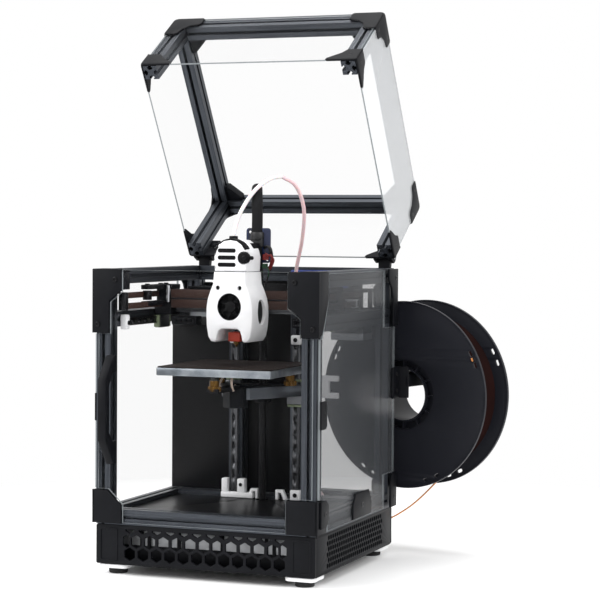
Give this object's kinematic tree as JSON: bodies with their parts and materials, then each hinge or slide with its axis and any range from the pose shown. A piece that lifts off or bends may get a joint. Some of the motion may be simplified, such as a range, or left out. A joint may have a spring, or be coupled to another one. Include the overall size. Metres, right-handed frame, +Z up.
{
  "type": "fdm printer",
  "caption": "Small enclosed desktop fdm printer with a T-slot frame, clear panels, a hinged top cover held open, a front door, a lifting bed and a filament spool on the back.",
  "frame": {"origin": "on the table, under the middle of the whole object's outline in plan, with the cover open as modelled", "axes": "+X to the printer's right as seen from the front, +Y from the front door to the back, +Z up"},
  "size_m": [0.3488, 0.3416, 0.5627],
  "materials": {
    "anodised_beam": "dark grey anodised, satin",
    "clear_sheet": "clear acrylic sheet, polished",
    "black_sheet": "black composite sheet",
    "printed_black": "black printed plastic with fine layer lines",
    "printed_white": "white printed plastic with fine layer lines",
    "plain_aluminium": "milled aluminium",
    "steel": "ground steel",
    "spring_steel": "powder-coated spring steel, fine grain",
    "motor_shell": "black lacquered steel",
    "white_tube": "white fluoropolymer tube",
    "woven_sleeve": "black braided sleeve",
    "copper_filament": "copper-coloured printing filament"
  },
  "bodies": {
    "frame": {"base_beam_front": "anodised_beam", "base_beam_rear": "anodised_beam", "base_beam_middle": "anodised_beam", "top_beam_rear": "anodised_beam", "base_beam_left": "anodised_beam", "base_beam_right": "anodised_beam", "top_beam_left": "anodised_beam", "top_beam_right": "anodised_beam", "gantry_beam_left": "anodised_beam", "gantry_beam_right": "anodised_beam", "z_post_left": "anodised_beam", "z_post_right": "anodised_beam", "post_front_left": "anodised_beam", "post_front_right": "anodised_beam", "post_rear_left": "anodised_beam", "post_rear_right": "anodised_beam", "deck_panel": "black_sheet", "middle_panel": "black_sheet", "left_panel": "clear_sheet", "right_panel": "clear_sheet", "rear_panel": "clear_sheet", "base_tray": "printed_black", "skirt_front": "printed_black", "skirt_rear": "printed_black", "skirt_left": "printed_black", "skirt_right": "printed_black", "idler_block_left": "printed_black", "idler_block_right": "printed_black", "z_motor": "motor_shell", "belt_drive_left": "motor_shell", "belt_drive_right": "motor_shell", "power_supply": "plain_aluminium", "lid_hinge_left": "printed_black", "lid_hinge_right": "printed_black", "spool_holder": "printed_black", "bowden_tube": "white_tube", "cable_sleeve": "woven_sleeve", "filament": "copper_filament"},
    "door": {"door_panel": "clear_sheet", "door_handle": "printed_black"},
    "lid": {"lid_glazing": "clear_sheet", "lid_beam_front": "anodised_beam", "lid_beam_rear": "anodised_beam", "lid_beam_left": "anodised_beam", "lid_beam_right": "anodised_beam", "lid_post_front_left": "anodised_beam", "lid_post_front_right": "anodised_beam", "lid_post_rear_left": "anodised_beam", "lid_post_rear_right": "anodised_beam"},
    "gantry": {"x_beam": "anodised_beam", "xy_joint_left": "printed_black", "xy_joint_right": "printed_black"},
    "toolhead": {"toolhead": "printed_white"},
    "fan": {"toolhead_fan": "printed_black"},
    "bed": {"bed_carrier": "plain_aluminium", "bed_plate": "plain_aluminium", "flex_plate": "spring_steel"},
    "screw": {"lead_screw": "steel"},
    "spool": {"spool": "printed_black"},
    "switch": {"rocker_switch": "printed_black"}
  },
  "joints": [
    {"name": "door_hinge", "type": "hinge", "parent": "frame", "child": "door", "pos_m": [0.05606, -0.14498, 0.175], "axis": [0, 0, 1], "range_deg": [0, 150]},
    {"name": "lid_hinge", "type": "hinge", "parent": "frame", "child": "lid", "pos_m": [-0.05594, 0.09542, 0.3104], "axis": [-1, 0, 0], "range_deg": [-57.5, 47.5]},
    {"name": "gantry_slide", "type": "slide", "parent": "frame", "child": "gantry", "axis": [0, 1, 0], "range_m": [-0.042, 0.055], "deforming": ["bowden_tube", "cable_sleeve"]},
    {"name": "toolhead_slide", "type": "slide", "parent": "gantry", "child": "toolhead", "axis": [1, 0, 0], "range_m": [-0.061, 0.057]},
    {"name": "fan_spin", "type": "hinge", "parent": "toolhead", "child": "fan", "pos_m": [-0.05374, -0.08218, 0.2631], "axis": [0, 1, 0], "continuous": true},
    {"name": "bed_slide", "type": "slide", "parent": "frame", "child": "bed", "axis": [0, 0, 1], "range_m": [-0.076, 0.0175]},
    {"name": "screw_spin", "type": "hinge", "parent": "frame", "child": "screw", "pos_m": [-0.05594, 0.00882, 0.14], "axis": [0, 0, 1], "range_deg": [-4290, 800]},
    {"name": "spool_spin", "type": "hinge", "parent": "frame", "child": "spool", "pos_m": [0.06676, 0.09782, 0.1669], "axis": [0.225, 0.9744, 0], "continuous": true, "deforming": ["filament"]},
    {"name": "switch_rock", "type": "hinge", "parent": "frame", "child": "switch", "pos_m": [-0.13394, 0.08632, 0.03], "axis": [1, 0, 0], "range_deg": [-14, 0]}
  ],
  "couplings": [
    {"joint": "screw_spin", "follows": "bed_slide", "rad_per_m": 785.4}
  ]
}
